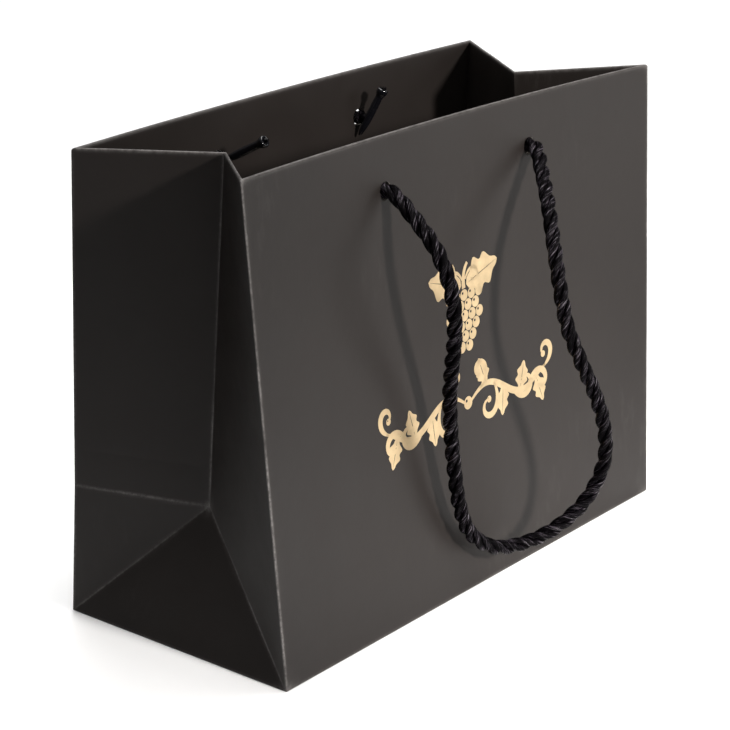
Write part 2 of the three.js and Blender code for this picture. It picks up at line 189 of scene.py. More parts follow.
def side_corners(side, s):
    """Where one side's folds meet: feet, tops, the knee of the back edge, the star and the crease's top."""
    crease = s.base_depth / 2
    lean = BACK_LEAN[side]
    risen = lambda lean_in: math.sqrt(s.panel_height**2 - lean_in**2)
    foot_x, top_x = side * s.base_width / 2, side * s.mouth_width / 2
    front_foot = np.array([foot_x, -crease, 0])
    back_foot = np.array([foot_x, crease, 0])
    front_top = np.array([top_x, FRONT_LEAN - crease, risen(FRONT_LEAN)])
    back_top = np.array([top_x, crease - lean, risen(lean)])
    knee = back_foot + (back_top - back_foot) * crease / s.panel_height - np.array([0, CREASE_TUCK, 0])
    inward = np.array([-side, 0, 0])
    diagonal = crease * math.sqrt(2)
    star = three_lengths([front_foot, back_foot, knee], [diagonal, diagonal, crease], inward)
    crease_top = three_lengths(
        [front_top, back_top, star], [crease, crease, s.panel_height - crease], inward)
    return {"front_foot": front_foot, "back_foot": back_foot, "front_top": front_top, "back_top": back_top,
            "knee": knee, "star": star + GIVE[side][0], "crease_top": crease_top + GIVE[side][1]}


def width_at(share, s):
    """The front's width at that share of its height."""
    return s.base_width + (s.mouth_width - s.base_width) * share


def smooth(t):
    t = np.clip(t, 0, 1)
    return t * t * (3 - 2 * t)


def mix(a, b, t):
    return a + (b - a) * np.asarray(t)[..., None]


class Patch:
    """One panel of the sheet, between fold A (across = 0) and fold B (across = 1).

    A point is a straight blend of the two folds, plus a bow and a slow wave that fade out at the folds."""

    def __init__(self, fold_a, fold_b, shift_a, shift_b, facing, bow, seed):
        self.fold_a, self.fold_b = fold_a, fold_b
        self.shift_a, self.shift_b = shift_a, shift_b
        self.facing, self.bow = np.array(facing, float), bow
        self.length = [np.linalg.norm(fold_a[1] - fold_a[0]), np.linalg.norm(fold_b[1] - fold_b[0])]
        self.waves = np.random.default_rng(SEED + seed).uniform(size=(5, 3))

    def depth_share(self, across, depth):
        return depth * (1 / self.length[0] + (1 / self.length[1] - 1 / self.length[0]) * across)

    def wall(self, across, share):
        across, share = np.broadcast_arrays(np.asarray(across, float), np.asarray(share, float))
        p = mix(mix(*self.fold_a, share), mix(*self.fold_b, share), across)
        window = np.sin(math.pi * across) * np.sin(math.pi * np.clip(0.04 + 0.92 * share, 0, 1)) ** 0.5
        wave = sum(
            math.cos(6 * c) * np.sin(2 * math.pi * ((0.6 + 1.6 * a) * across + (0.5 + 1.4 * b) * share + c))
            for a, b, c in self.waves)
        return p + (self.bow(across, share) + WAVE_HEIGHT * window * wave)[..., None] * self.facing

    def hem(self, across, depth, layer=1.0):
        """The wall that far below the top edge, moved in by the hem's shift; layer 0 is the wall itself."""
        under = smooth((np.asarray(depth) - CARD_END) / CARD_STEP)
        shift = mix(mix(*self.shift_a, under), mix(*self.shift_b, under), across)
        return self.wall(across, 1 - self.depth_share(across, depth)) + shift * np.asarray(layer)[..., None]


def hem_shift(side, facing):
    """From a wall's fold to the hem's, over the card and under it; facing is 0 at a middle crease."""
    return [np.array([-side * (corner_x if facing else crease_x), -facing * corner_y, 0.0])
            for corner_x, corner_y, crease_x in HEM_SHIFTS.values()]


def arch(across):
    return 1 - (2 * across - 1) ** 2


def ease_out(t):
    t = np.clip(t, 0, 1)
    return t * (2 - t)


def bag_patches(s):
    """The side corners and the six upper panels, anticlockwise from above, from the front's left."""
    corners = {side: side_corners(side, s) for side in (-1, 1)}
    fold = lambda side, low, high: (corners[side][low], corners[side][high])
    front = {side: fold(side, "front_foot", "front_top") for side in (-1, 1)}
    crease = {side: fold(side, "star", "crease_top") for side in (-1, 1)}
    back = {side: fold(side, "knee", "back_top") for side in (-1, 1)}
    upper = s.panel_height - s.base_depth / 2
    dish = lambda across, share: -FRONT_DISH * ease_out(share / DISH_RISE) * arch(across)
    bulge = lambda across, share: BACK_BULGE * share * arch(across)
    flat = lambda across, share: 0.0 * across * share

    def pressed(across, share):
        line = bell(share * upper - PRESS_LINE, PRESS_REACH)
        return -PRESS_DEPTH * line * smooth(8 * across) * smooth(8 * (1 - across))

    shift = {(side, facing): hem_shift(side, facing) for side in (-1, 1) for facing in (-1, 0, 1)}
    x, y = GUSSET_OUT
    rows = (
        (front[-1], front[1], (-1, -1), (1, -1), (0, -1, 0), dish),
        (front[1], crease[1], (1, -1), (1, 0), (x, y, 0), flat),
        (crease[1], back[1], (1, 0), (1, 1), (x, -y, 0), pressed),
        (back[1], back[-1], (1, 1), (-1, 1), (0, 1, 0), bulge),
        (back[-1], crease[-1], (-1, 1), (-1, 0), (-x, -y, 0), pressed),
        (crease[-1], front[-1], (-1, 0), (-1, -1), (-x, y, 0), flat),
    )
    return corners, [
        Patch(fold_a, fold_b, shift[at_a], shift[at_b], facing, bow, number)
        for number, (fold_a, fold_b, at_a, at_b, facing, bow) in enumerate(rows, 1)]


def shares(length, count, fixed=()):
    """Shares from 0 to 1: close to both ends, evenly between, and with the fixed ones among them."""
    ends = SUPPORTS / length
    must = np.unique(np.round(np.concatenate([[0, 1], ends, 1 - ends, fixed]), 7))
    even = np.linspace(0, 1, count + 1)
    clear = np.abs(even[:, None] - must[None, :]).min(1) > 0.45 / count
    return np.sort(np.concatenate([must, even[clear]]))


def quads(index):
    """Four-sided faces of a grid of vertex numbers, rows upward and columns anticlockwise round the bag."""
    return np.stack([index[:-1, :-1], index[:-1, 1:], index[1:, 1:], index[1:, :-1]], -1).reshape(-1, 4)


class Shell:
    """Collects points and faces, and drops unused points and doubled corners at the end."""

    def __init__(self):
        self.points, self.faces, self.count = [], [], 0

    def add(self, points):
        shape = points.shape[:-1]
        self.points.append(points.reshape(-1, 3))
        index = self.count + np.arange(int(np.prod(shape))).reshape(shape)
        self.count += index.size
        return index

    def finish(self):
        points = np.vstack(self.points)
        faces = np.vstack(self.faces)
        used, faces = np.unique(faces, return_inverse=True)
        faces = faces.reshape(-1, 4).tolist()
        faces = [[v for k, v in enumerate(face) if v != face[k - 1]] for face in faces]
        return points[used], [face for face in faces if len(face) > 2]


def sheet_shell(s):
    """The whole folded sheet as one skin: walls, gussets, rolled top, turned-in hem and base triangles.

    Every row and column is a line of points on the patches, and each fold is one shared line of points."""
    corners, patches = bag_patches(s)
    shell = Shell()
    upper = s.panel_height - s.base_depth / 2
    crease = s.base_depth / 2

    # Columns: each patch's shares across, with lines round the holes on the front and the back.
    hole_width = width_at(1 - s.hole_below_top / s.panel_height, s)
    block = HOLE_BLOCK / hole_width
    middles = 0.5 + np.array([-0.5, 0.5]) * s.hole_spacing / hole_width
    block_lines = np.concatenate([m + block * np.linspace(-1, 1, 7) for m in middles])
    wall_across = shares(s.mouth_width, WALL_COLUMNS, block_lines)
    half_across = shares(crease, GUSSET_COLUMNS)
    across = [half_across] * 6
    across[0] = across[3] = wall_across
    starts = np.cumsum([0] + [len(a) - 1 for a in across])
    columns = starts[-1]
    patch_of = np.repeat(np.arange(6), [len(a) - 1 for a in across])
    across_of = np.concatenate([a[:-1] for a in across])

    # Rows: up the walls, over the top, and down the hem.
    hole_rows = {length: 1 - (s.hole_below_top + HOLE_BLOCK * np.linspace(-1, 1, 3)) / length
                 for length in (s.panel_height, upper)}
    press = (PRESS_LINE + np.array([-0.9, 0, 0.9]) * MM) / upper
    up = shares(upper, WALL_ROWS, np.concatenate([*hole_rows.values(), press]))
    hem_rows = np.unique(np.concatenate([
        TOP_ROLL + np.array([0, 0.8, 2.2]) * MM,
        s.hole_below_top + HOLE_BLOCK * np.linspace(-1, 1, 7),
        np.linspace(5 * MM, CARD_END, HEM_ROWS), CARD_END + CARD_STEP * np.array([0.35, 0.7, 1.0]),
        s.hem_depth - np.array([0.5, 0]) * MM,
    ]))
    hem_rows = hem_rows[np.concatenate([[True], np.diff(hem_rows) > 0.35 * MM])]

    def row(point_of):
        out = np.zeros((columns, 3))
        for k, patch in enumerate(patches):
            here = patch_of == k
            out[here] = point_of(patch, across_of[here])
        return out

    wall_point = lambda share: lambda patch, a: patch.wall(a, share * (1 - patch.depth_share(a, TOP_ROLL)))
    hem_point = lambda depth, layer: lambda patch, a: patch.hem(a, depth, layer)
    rows = [row(wall_point(share)) for share in up]
    rows += [row(hem_point(TOP_ROLL * (1 - math.sin(angle)), (1 - math.cos(angle)) / 2)) for angle in ROLL_TURNS]
    rows += [row(hem_point(depth, 1.0)) for depth in hem_rows]
    ring = closed(shell.add(np.stack(rows)))
    holes = np.zeros((ring.shape[0] - 1, columns), bool)

    def punch(patch_number, first, last, height_of, edges, centre, width, point_at):
        """Opens a round hole: a block of cells goes, and rings of points carry the mesh in to the circle."""
        a = across[patch_number]
        c0, c1 = starts[patch_number] + np.searchsorted(a, np.array(edges) - 1e-6)
        holes[first:last, c0:c1] = True
        rim = [(first, c) for c in range(c0, c1)] + [(r, c1) for r in range(first, last)]
        rim += [(last, c) for c in range(c1, c0, -1)] + [(r, c0) for r in range(last, first, -1)]
        rim = np.array(rim)
        rim_across = a[rim[:, 1] - starts[patch_number]]
        offset = np.stack([(rim_across - centre) * width, height_of(rim[:, 0])], -1)
        circle = s.hole_radius * unit(offset)
        rings = [ring[rim[:, 0], rim[:, 1]]]
        for step in HOLE_RINGS:
            local = offset + (circle - offset) * step
            rings.append(shell.add(point_at(centre + local[:, 0] / width, local[:, 1])))
        shell.faces.append(quads(closed(np.stack(rings))))

    nearest = lambda rows, place: np.abs(rows - place).argmin()
    hem_first = len(up) + len(ROLL_TURNS)
    hem_ends = [hem_first + nearest(hem_rows, s.hole_below_top + HOLE_BLOCK * k) for k in (-1, 1)]
    hem_width = hole_width - 2 * HEM_SHIFTS["over_card"][0]
    for number, length_of_rows in ((0, s.panel_height), (3, upper)):
        patch = patches[number]
        length = patch.length[0]
        hole_share = 1 - s.hole_below_top / length
        ends = [nearest(up, hole_rows[length_of_rows][k]) for k in (2, 0)]
        wall_height = lambda r: (up[r] * (1 - TOP_ROLL / length) - hole_share) * length
        hem_height = lambda r: s.hole_below_top - hem_rows[r - hem_first]
        for middle, side in zip(middles, (-1, 1)):
            edges = (middle - block, middle + block)
            punch(number, *ends, wall_height, edges, middle, hole_width,
                  lambda a, h: patch.wall(a, hole_share + h / length))
            hem_middle = 0.5 + side * s.hole_spacing / 2 / hem_width
            punch(number, *hem_ends, hem_height, edges, hem_middle, hem_width,
                  lambda a, h: patch.hem(a, s.hole_below_top - h))
    ring_faces = quads(ring).reshape(ring.shape[0] - 1, columns, 4)
    shell.faces.append(ring_faces[~holes])

    # The lower back and its side triangles: from the crease down to the foot, all meeting at the stars.
    span = slice(starts[2], starts[5] + 1)
    foot_to_crease = shares(crease, FOOT_ROWS)[:-1]
    star_right, star_left = ring[0, starts[2]], ring[0, starts[5]]
    low_columns = np.concatenate([patch_of[starts[2]:starts[5]], [4]])
    low_across = np.concatenate([across_of[starts[2]:starts[5]], [1.0]])

    def low_row(k):
        right, left = (mix(corners[side]["back_foot"], corners[side]["knee"], k) for side in (1, -1))
        ends = {2: (corners[1]["star"], right), 3: (right, left), 4: (left, corners[-1]["star"])}
        return np.stack([mix(*ends[p], a) for p, a in zip(low_columns, low_across)])

    low = shell.add(np.stack([low_row(k) for k in foot_to_crease]))
    low[:, 0], low[:, -1] = star_right, star_left
    low = np.vstack([low, ring[:1, span]])
    shell.faces.append(quads(low))

    # The base triangles, one row of columns for each share along the diagonals.
    depth_across = shares(s.base_depth, DEPTH_COLUMNS)
    count = len(half_across)
    feet = []
    for side, front_patch, low_edge, star in ((1, 1, slice(0, count), star_right),
                                              (-1, 5, slice(-count, None), star_left)):
        c = corners[side]
        line = mix(c["front_foot"], c["back_foot"], depth_across if side > 0 else 1 - depth_across)
        grid = shell.add(line + (c["star"] - line) * half_across[:, None, None])
        diagonals = ring[0, starts[front_patch] + np.arange(count)], low[0, low_edge]
        first, last = diagonals[::side]
        grid[:, 0], grid[:, -1], grid[-1] = first, last[::-1], star
        shell.faces.append(quads(grid))
        feet.append(grid[0])

    # The foot: the sheet turns in under the walls.
    back_foot = low[0, count - 1:len(low_columns) - count + 1]
    foot = np.concatenate([ring[0, :starts[1]], feet[0][:-1], back_foot[:-1], feet[1][:-1]])
    tucked = np.vstack(shell.points)[foot]
    limit = np.array([s.base_width, s.base_depth]) / 2 - FOOT_TUCK
    tucked[:, :2] = np.clip(tucked[:, :2], -limit, limit)
    shell.faces.append(quads(closed(np.stack([shell.add(tucked), foot]))))

    points, faces = shell.finish()
    points[:, 2] = np.maximum(points[:, 2], FOOT_LIFT)
    return corners, points, faces


def segment_distance(points, a, b):
    """Distance from each point to the line piece a to b."""
    d = b - a
    t = np.clip((points - a) @ d / (d @ d), 0, 1)
    return np.linalg.norm(points - a - t[:, None] * d, axis=1)


# Lightened folds of each side, from cracking, and on the front's side edges also a painted highlight: the fold's
# two ends, how strong the lightening is, and how far it reaches, in millimetres.
SIDE_WEAR_AND_HIGHLIGHT = (
    ("front_foot", "front_top", 1.0, 0.55), ("star", "crease_top", 0.55, 0.5),
    ("front_foot", "star", 0.55, 0.45), ("back_foot", "star", 0.4, 0.45),
    ("knee", "star", 0.6, 0.5), ("back_foot", "knee", 0.5, 0.5),
    ("knee", "back_top", 0.5, 0.5), ("front_foot", "back_foot", 0.5, 0.5),
)
ACROSS_WEAR = (("front_foot", 0.8), ("back_foot", 0.6), ("knee", 0.35))  # folds from side to side
ACROSS_REACH = 0.5
SPOT_WEAR = (("star", 1.0, 1.6), ("front_foot", 1.0, 2.2), ("front_top", 0.9, 1.6))


def fold_wear_and_highlight(points, corners):
    """How lightened each point is, by cracking and by a painted highlight on the front's side edges: each fold's
    lightening falls off as a bell over half a millimetre.
    """
    lines = [(corners[side][a], corners[side][b], amount, reach)
             for side in (-1, 1) for a, b, amount, reach in SIDE_WEAR_AND_HIGHLIGHT]
    lines += [(corners[-1][spot], corners[1][spot], amount, ACROSS_REACH)
              for spot, amount in ACROSS_WEAR]
    wear_with_highlight = np.zeros(len(points))
    for a, b, amount, reach in lines:
        wear_with_highlight = np.maximum(wear_with_highlight, amount * bell(segment_distance(points, a, b), reach * MM))
    for side in (-1, 1):
        for spot, amount, reach in SPOT_WEAR:
            distance = np.linalg.norm(points - corners[side][spot], axis=1)
            wear_with_highlight = np.maximum(wear_with_highlight, amount * bell(distance, reach * MM))
    return wear_with_highlight


TOP_REACH = 0.75 * MM


def top_rub_and_highlight(points, s):
    """How close each point is to the rolled top edge, from 0 to 1: the mask of its rubbing and of a painted
    highlight along it.
    """
    _, patches = bag_patches(s)
    best = np.zeros(len(points))
    for patch in patches:
        line = patch.hem(np.linspace(0, 1, 41), 0.0, 0.5)
        for a, b in zip(line[:-1], line[1:]):
            best = np.maximum(best, bell(segment_distance(points, a, b), TOP_REACH))
    return best


# ---- Meshes ----
def add_piece(name, points, faces, materials, face_material=None, uv=None):
    """A mesh object at the origin, with its place in its points."""
    mesh = bpy.data.meshes.new(name)
    mesh.from_pydata(np.asarray(points).tolist(), [], [list(map(int, f)) for f in faces])
    for m in materials:
        mesh.materials.append(m)
    if face_material is not None:
        mesh.polygons.foreach_set("material_index", np.asarray(face_material, np.int32))
    if uv is not None:
        loops = np.zeros(len(mesh.loops), np.int32)
        mesh.loops.foreach_get("vertex_index", loops)
        layer = mesh.uv_layers.new(name="along")
        layer.data.foreach_set("uv", np.asarray(uv, np.float32)[loops].ravel())
    mesh.polygons.foreach_set("use_smooth", np.ones(len(mesh.polygons), bool))
    mesh.validate()
    mesh.update()
    obj = bpy.data.objects.new(name, mesh)
    bpy.context.scene.collection.objects.link(obj)
    return obj


def joined(parts):
    """Several (points, faces) as one."""
    starts = np.cumsum([0] + [len(points) for points, _ in parts])
    faces = [[v + start for v in face] for start, (_, faces) in zip(starts.tolist(), parts) for face in faces]
    return np.vstack([points for points, _ in parts]), faces


def wound(grid):
    """A grid's points as a list, and their numbers as a grid that goes round."""
    index = np.arange(grid[..., 0].size).reshape(grid.shape[:2])
    return grid.reshape(-1, 3), closed(index)


def add_point_value(obj, name, values):
    attribute = obj.data.attributes.new(name, "FLOAT", "POINT")
    attribute.data.foreach_set("value", np.asarray(values, np.float32))


# ---- Materials ----
def times(colour, factor):
    return tuple(factor * v for v in colour)


class Finish:
    """A material on one principled shader, with short calls for its nodes."""

    def __init__(self, name, colour, roughness, **values):
        self.material = bpy.data.materials.new(name)
        self.material.use_nodes = True
        self.tree = self.material.node_tree
        self.shader = self.tree.nodes["Principled BSDF"]
        self.shader.inputs["Base Color"].default_value = (*colour, 1)
        self.shader.inputs["Roughness"].default_value = roughness
        for key, value in values.items():
            self.shader.inputs[key.replace("_", " ")].default_value = value
        self.place = self.node("ShaderNodeTexCoord").outputs["Object"]

    def node(self, kind, **settings):
        n = self.tree.nodes.new(kind)
        for key, value in settings.items():
            setattr(n, key, value)
        return n

    def link(self, source, target):
        self.tree.links.new(source, target)

    def scaled(self, stretch, source=None):
        n = self.node("ShaderNodeMapping")
        n.inputs["Scale"].default_value = stretch
        self.link(source or self.place, n.inputs["Vector"])
        return n.outputs["Vector"]

    def noise(self, scale, detail=3.0, rough=0.5, source=None, distortion=0.0):
        n = self.node("ShaderNodeTexNoise")
        n.inputs["Scale"].default_value = scale
        n.inputs["Detail"].default_value = detail
        n.inputs["Roughness"].default_value = rough
        n.inputs["Distortion"].default_value = distortion
        self.link(source or self.place, n.inputs["Vector"])
        return n.outputs["Fac"]

    def ranged(self, source, low, high, to_low=0, to_high=1):
        n = self.node("ShaderNodeMapRange", clamp=True)
        self.link(source, n.inputs["Value"])
        for key, value in (("From Min", low), ("From Max", high), ("To Min", to_low), ("To Max", to_high)):
            n.inputs[key].default_value = value
        return n.outputs["Result"]

    def fill(self, sockets, values):
        """Sets each socket to its number or colour, or links it to its source."""
        for socket, value in zip(sockets, values):
            if isinstance(value, tuple):
                socket.default_value = (*value, 1)
            elif isinstance(value, (int, float)):
                socket.default_value = value
            else:
                self.link(value, socket)

    def product(self, a, b):
        n = self.node("ShaderNodeMath", operation="MULTIPLY", use_clamp=True)
        self.fill(n.inputs, (a, b))
        return n.outputs[0]

    def total(self, a, b):
        n = self.node("ShaderNodeMath", operation="ADD")
        self.fill(n.inputs, (a, b))
        return n.outputs[0]

    def mixed(self, factor, a, b):
        n = self.node("ShaderNodeMix", data_type="RGBA")
        self.fill((n.inputs["Factor"], n.inputs[6], n.inputs[7]), (factor, a, b))
        return n.outputs[2]

    def tones(self, factor, colour, low, high):
        """The colour, from low times it to high times it."""
        return self.mixed(factor, times(colour, low), times(colour, high))

    def value_of(self, name):
        return self.node("ShaderNodeAttribute", attribute_name=name).outputs["Fac"]

    def bump(self, height, distance):
        """Adds a bump of that distance on top of the bumps already there."""
        n = self.node("ShaderNodeBump")
        n.inputs["Distance"].default_value = distance
        self.link(height, n.inputs["Height"])
        previous = self.shader.inputs["Normal"].links
        if previous:
            self.link(previous[0].from_socket, n.inputs["Normal"])
        self.link(n.outputs["Normal"], self.shader.inputs["Normal"])

    def to(self, source, socket):
        self.link(source, self.shader.inputs[socket])


def make_finishes(c):
    """Every finish of the bag, by the name of its slot."""
    # Laminate: faint clouds, light scuffs, cracked folds and a top edge paled by rubbing, with a painted highlight
    # along the front's side edges and the top edge.
    laminate = Finish("matt_laminate", c.laminate, 0.44, Specular_IOR_Level=0.17)
    tone = laminate.tones(laminate.ranged(laminate.noise(22, 4), 0.3, 0.7), c.laminate, 0.93, 1.07)
    scuff_area = laminate.ranged(laminate.noise(14, 2, distortion=0.6), 0.56, 0.72)
    drawn_out = laminate.scaled((1, 1, 0.25))
    scuff_lines = laminate.ranged(laminate.noise(240, 5, 0.7, source=drawn_out), 0.52, 0.66)
    scuff = laminate.product(scuff_area, scuff_lines)
    tone = laminate.mixed(laminate.product(scuff, 0.08), tone, (0.12, 0.115, 0.11))
    cracked = laminate.ranged(laminate.noise(700, 5, 0.75), 0.36, 0.62, 0.25, 1)
    patchy = laminate.ranged(laminate.noise(38, 3, 0.6), 0.34, 0.62, 0.3, 1)
    # Fold mask: cracking, and a painted highlight along the front's side edges.
    wear_and_highlight = laminate.product(laminate.product(laminate.value_of("fold_wear_and_highlight"), cracked), patchy)
    tone = laminate.mixed(laminate.product(wear_and_highlight, 0.62), tone, tuple(c.wear_and_highlight))
    # A paler line along the rolled top edge: rubbing, and a painted highlight.
    top_line_breakup = laminate.ranged(laminate.noise(420, 4, 0.7), 0.34, 0.6, 0.3, 1)
    edge = laminate.product(laminate.value_of("top_rub_and_highlight"), top_line_breakup)
    tone = laminate.mixed(laminate.product(edge, 0.30), tone, tuple(c.wear_and_highlight))
    laminate.to(tone, "Base Color")
    gloss = laminate.ranged(laminate.noise(45, 4), 0.3, 0.7, 0.40, 0.48)
    laminate.to(laminate.total(gloss, laminate.product(wear_and_highlight, 0.3)), "Roughness")
    laminate.bump(laminate.noise(2600, 2), 0.012 * MM)
    laminate.bump(laminate.noise(160, 4), 0.06 * MM)

    reverse = Finish("sheet_reverse", c.reverse, 0.85)
    fibre = reverse.noise(900, 6, 0.65, source=reverse.scaled((1, 1, 0.5)))
    reverse.to(reverse.tones(reverse.ranged(fibre, 0.3, 0.7), c.reverse, 0.75, 1.25), "Base Color")
    reverse.bump(fibre, 0.04 * MM)

    core = Finish("raw_paper_core", c.core, 0.9)
    strands = core.noise(1800, 6, 0.7)
    core.to(core.tones(strands, c.core, 0.6, 1.2), "Base Color")
    core.bump(strands, 0.08 * MM)

    board = Finish("greyboard", c.board, 0.9)
    fleck = board.noise(1100, 7, 0.7, source=board.scaled((1, 0.6, 1)))
    grey = board.tones(board.ranged(fleck, 0.35, 0.65), c.board, 0.7, 1.2)
    specks = board.ranged(board.noise(420, 2), 0.66, 0.74, 0, 0.6)
    board.to(board.mixed(specks, grey, (0.08, 0.07, 0.06)), "Base Color")
    board.bump(fleck, 0.08 * MM)

    # Rope: painted highlights, bright streaks along the yarns that lighten the base colour and raise the specular,
    # from a pattern on the strand's own length and girth.
    rope = Finish("twisted_rope", c.rope, 0.36)
    along = rope.node("ShaderNodeUVMap", uv_map="along").outputs["UV"]
    yarn = rope.noise(1.0, 3, 0.6, source=rope.scaled((0.45, 13, 1), along))
    hair = rope.noise(1.0, 2, 0.6, source=rope.scaled((1.6, 110, 1), along))
    yarn_highlight = rope.product(rope.ranged(yarn, 0.54, 0.66), rope.ranged(hair, 0.36, 0.56))
    yarn_highlight = rope.ranged(yarn_highlight, 0.15, 0.8)
    rope.to(rope.tones(yarn_highlight, c.rope, 0.45, 26.0), "Base Color")
    rope.to(rope.ranged(yarn_highlight, 0, 1, 0.02, 0.9), "Specular IOR Level")
    rope.to(rope.ranged(hair, 0.3, 0.7, 0.26, 0.46), "Roughness")
    rope.bump(yarn, 0.22 * MM)
    rope.bump(hair, 0.12 * MM)

    toggle = Finish("moulded_toggle", c.toggle, 0.14, Coat_Weight=0.15, Coat_Roughness=0.05)
    toggle.to(toggle.ranged(toggle.noise(700, 4), 0.3, 0.7, 0.08, 0.18), "Roughness")
    toggle.to(toggle.tones(toggle.noise(90, 3), c.toggle, 0.7, 1.6), "Base Color")
    toggle.bump(toggle.noise(600, 2), 0.02 * MM)

    foil = Finish("stamped_foil", c.foil, 0.30, Metallic=1.0)
    mottle = foil.ranged(foil.noise(160, 4, 0.6), 0.3, 0.7)
    foil.to(foil.tones(mottle, c.foil, 0.86, 1.08), "Base Color")
    foil.to(foil.ranged(foil.noise(420, 3), 0.3, 0.7, 0.28, 0.44), "Roughness")
    foil.bump(foil.noise(500, 3), 0.02 * MM)

    named = {"laminate": laminate, "reverse": reverse, "core": core, "greyboard": board, "rope": rope,
             "toggle": toggle, "foil": foil}
    return {name: finish.material for name, finish in named.items()}


FINISHES = {}


def finishes():
    if not FINISHES:
        FINISHES.update(make_finishes(bpy.context.scene.gift_bag_colours))
    return FINISHES


# ---- Ropes ----
def spline_points(points, steps=60):
    """A smooth line through the points: between two, the cubic that keeps their centripetal tangents."""
    p = np.vstack([2 * points[0] - points[1], points, 2 * points[-1] - points[-2]])
    t = np.linspace(0, 1, steps, endpoint=False)[:, None]
    out = []
    for p0, p1, p2, p3 in zip(p[:-3], p[1:-2], p[2:-1], p[3:]):
        d0, d1, d2 = (math.sqrt(np.linalg.norm(b - a)) for a, b in ((p0, p1), (p1, p2), (p2, p3)))
        m1 = ((p1 - p0) / d0 - (p2 - p0) / (d0 + d1) + (p2 - p1) / d1) * d1
        m2 = ((p2 - p1) / d1 - (p3 - p1) / (d1 + d2) + (p3 - p2) / d2) * d1
        out.append((2 * t**3 - 3 * t**2 + 1) * p1 + (t**3 - 2 * t**2 + t) * m1
                   + (-2 * t**3 + 3 * t**2) * p2 + (t**3 - t**2) * m2)
    return np.vstack([*out, points[-1:]])


class RopeLine:
    """One handle's whole line, by distance along it, with a frame that doesn't twist."""

    def __init__(self, points, pitch=0.25 * MM):
        fine = spline_points(points)
        gone = np.concatenate([[0], np.cumsum(np.linalg.norm(np.diff(fine, axis=0), axis=1))])
        self.total = gone[-1]
        self.at = np.linspace(0, self.total, int(self.total / pitch) + 1)
        self.middle = np.stack([np.interp(self.at, gone, fine[:, k]) for k in range(3)], -1)
        tangent = np.gradient(self.middle, axis=0)
        self.tangent = tangent / np.linalg.norm(tangent, axis=1)[:, None]
        normal = np.cross(self.tangent[0], [0, 0, 1])
        normals = [normal / np.linalg.norm(normal)]
        for before, after in zip(self.tangent[:-1], self.tangent[1:]):
            n = normals[-1] - after * (normals[-1] @ after)
            normals.append(n / np.linalg.norm(n))
        self.normal = np.array(normals)

    def sample(self, distances):
        pick = lambda values: np.stack([np.interp(distances, self.at, values[:, k]) for k in range(3)], -1)
        middle, tangent, normal = pick(self.middle), pick(self.tangent), pick(self.normal)
        tangent /= np.linalg.norm(tangent, axis=1)[:, None]
        normal -= tangent * (normal * tangent).sum(1)[:, None]
        normal /= np.linalg.norm(normal, axis=1)[:, None]
        return middle, tangent, normal, np.cross(tangent, normal)


STRANDS = 3
STRAND_SIDES = 24
STRAND_STEP = 0.75 * MM
STRAND_SHARE = 0.44  # a strand's radius, as a share of the rope's
STRAND_WIDE = 1.16  # a slanted strand is wider across than through
YARNS = 8
YARN_DEPTH = 0.045
YARN_TWIST = -1.35  # turns of the yarns for each turn of the strands


def rope_mesh(line, start, end, s):
    """Three strands: each is a fluted round carried along a helix about the rope's line."""
    radius = s.rope_diameter / 2
    strand = radius * STRAND_SHARE
    helix = radius - strand * 1.02
    distances = np.linspace(start, end, max(8, int((end - start) / STRAND_STEP)))
    middle, _, normal, side = line.sample(distances)
    around = np.linspace(0, 2 * math.pi, STRAND_SIDES, endpoint=False)
    parts, uv = [], []
    for k in range(STRANDS):
        turn = 2 * math.pi * (distances / s.rope_lay + k / STRANDS)
        out = np.cos(turn)[:, None] * normal + np.sin(turn)[:, None] * side
        over = -np.sin(turn)[:, None] * normal + np.cos(turn)[:, None] * side
        centre = middle + helix * out
        slant = around[None, :] + YARN_TWIST * turn[:, None]
        flute = 1 + YARN_DEPTH * np.cos(YARNS * slant)
        points, index = wound(centre[:, None] + strand * flute[..., None] * (
            np.cos(around)[None, :, None] * out[:, None]
            + STRAND_WIDE * np.sin(around)[None, :, None] * over[:, None]))
        ends = [index[0, -2::-1].tolist(), index[-1, :-1].tolist()]
        parts.append((points, quads(index).tolist() + ends))
        along = np.broadcast_to((distances / (3 * MM) + 40 * k)[:, None], slant.shape)
        uv.append(np.stack([along, slant / (2 * math.pi)], -1).reshape(-1, 2))
    return *joined(parts), np.vstack(uv)


def hole_centres(s):
    """The four punched holes, left and right on the front and on the back."""
    _, patches = bag_patches(s)
    step = s.hole_spacing / 2 / width_at(1 - s.hole_below_top / s.panel_height, s)
    front, back = patches[0], patches[3]
    front_share, back_share = (1 - s.hole_below_top / p.length[0] for p in (front, back))
    return {
        "front": [front.wall(0.5 - step, front_share), front.wall(0.5 + step, front_share)],
        "back": [back.wall(0.5 + step, back_share), back.wall(0.5 - step, back_share)],
    }


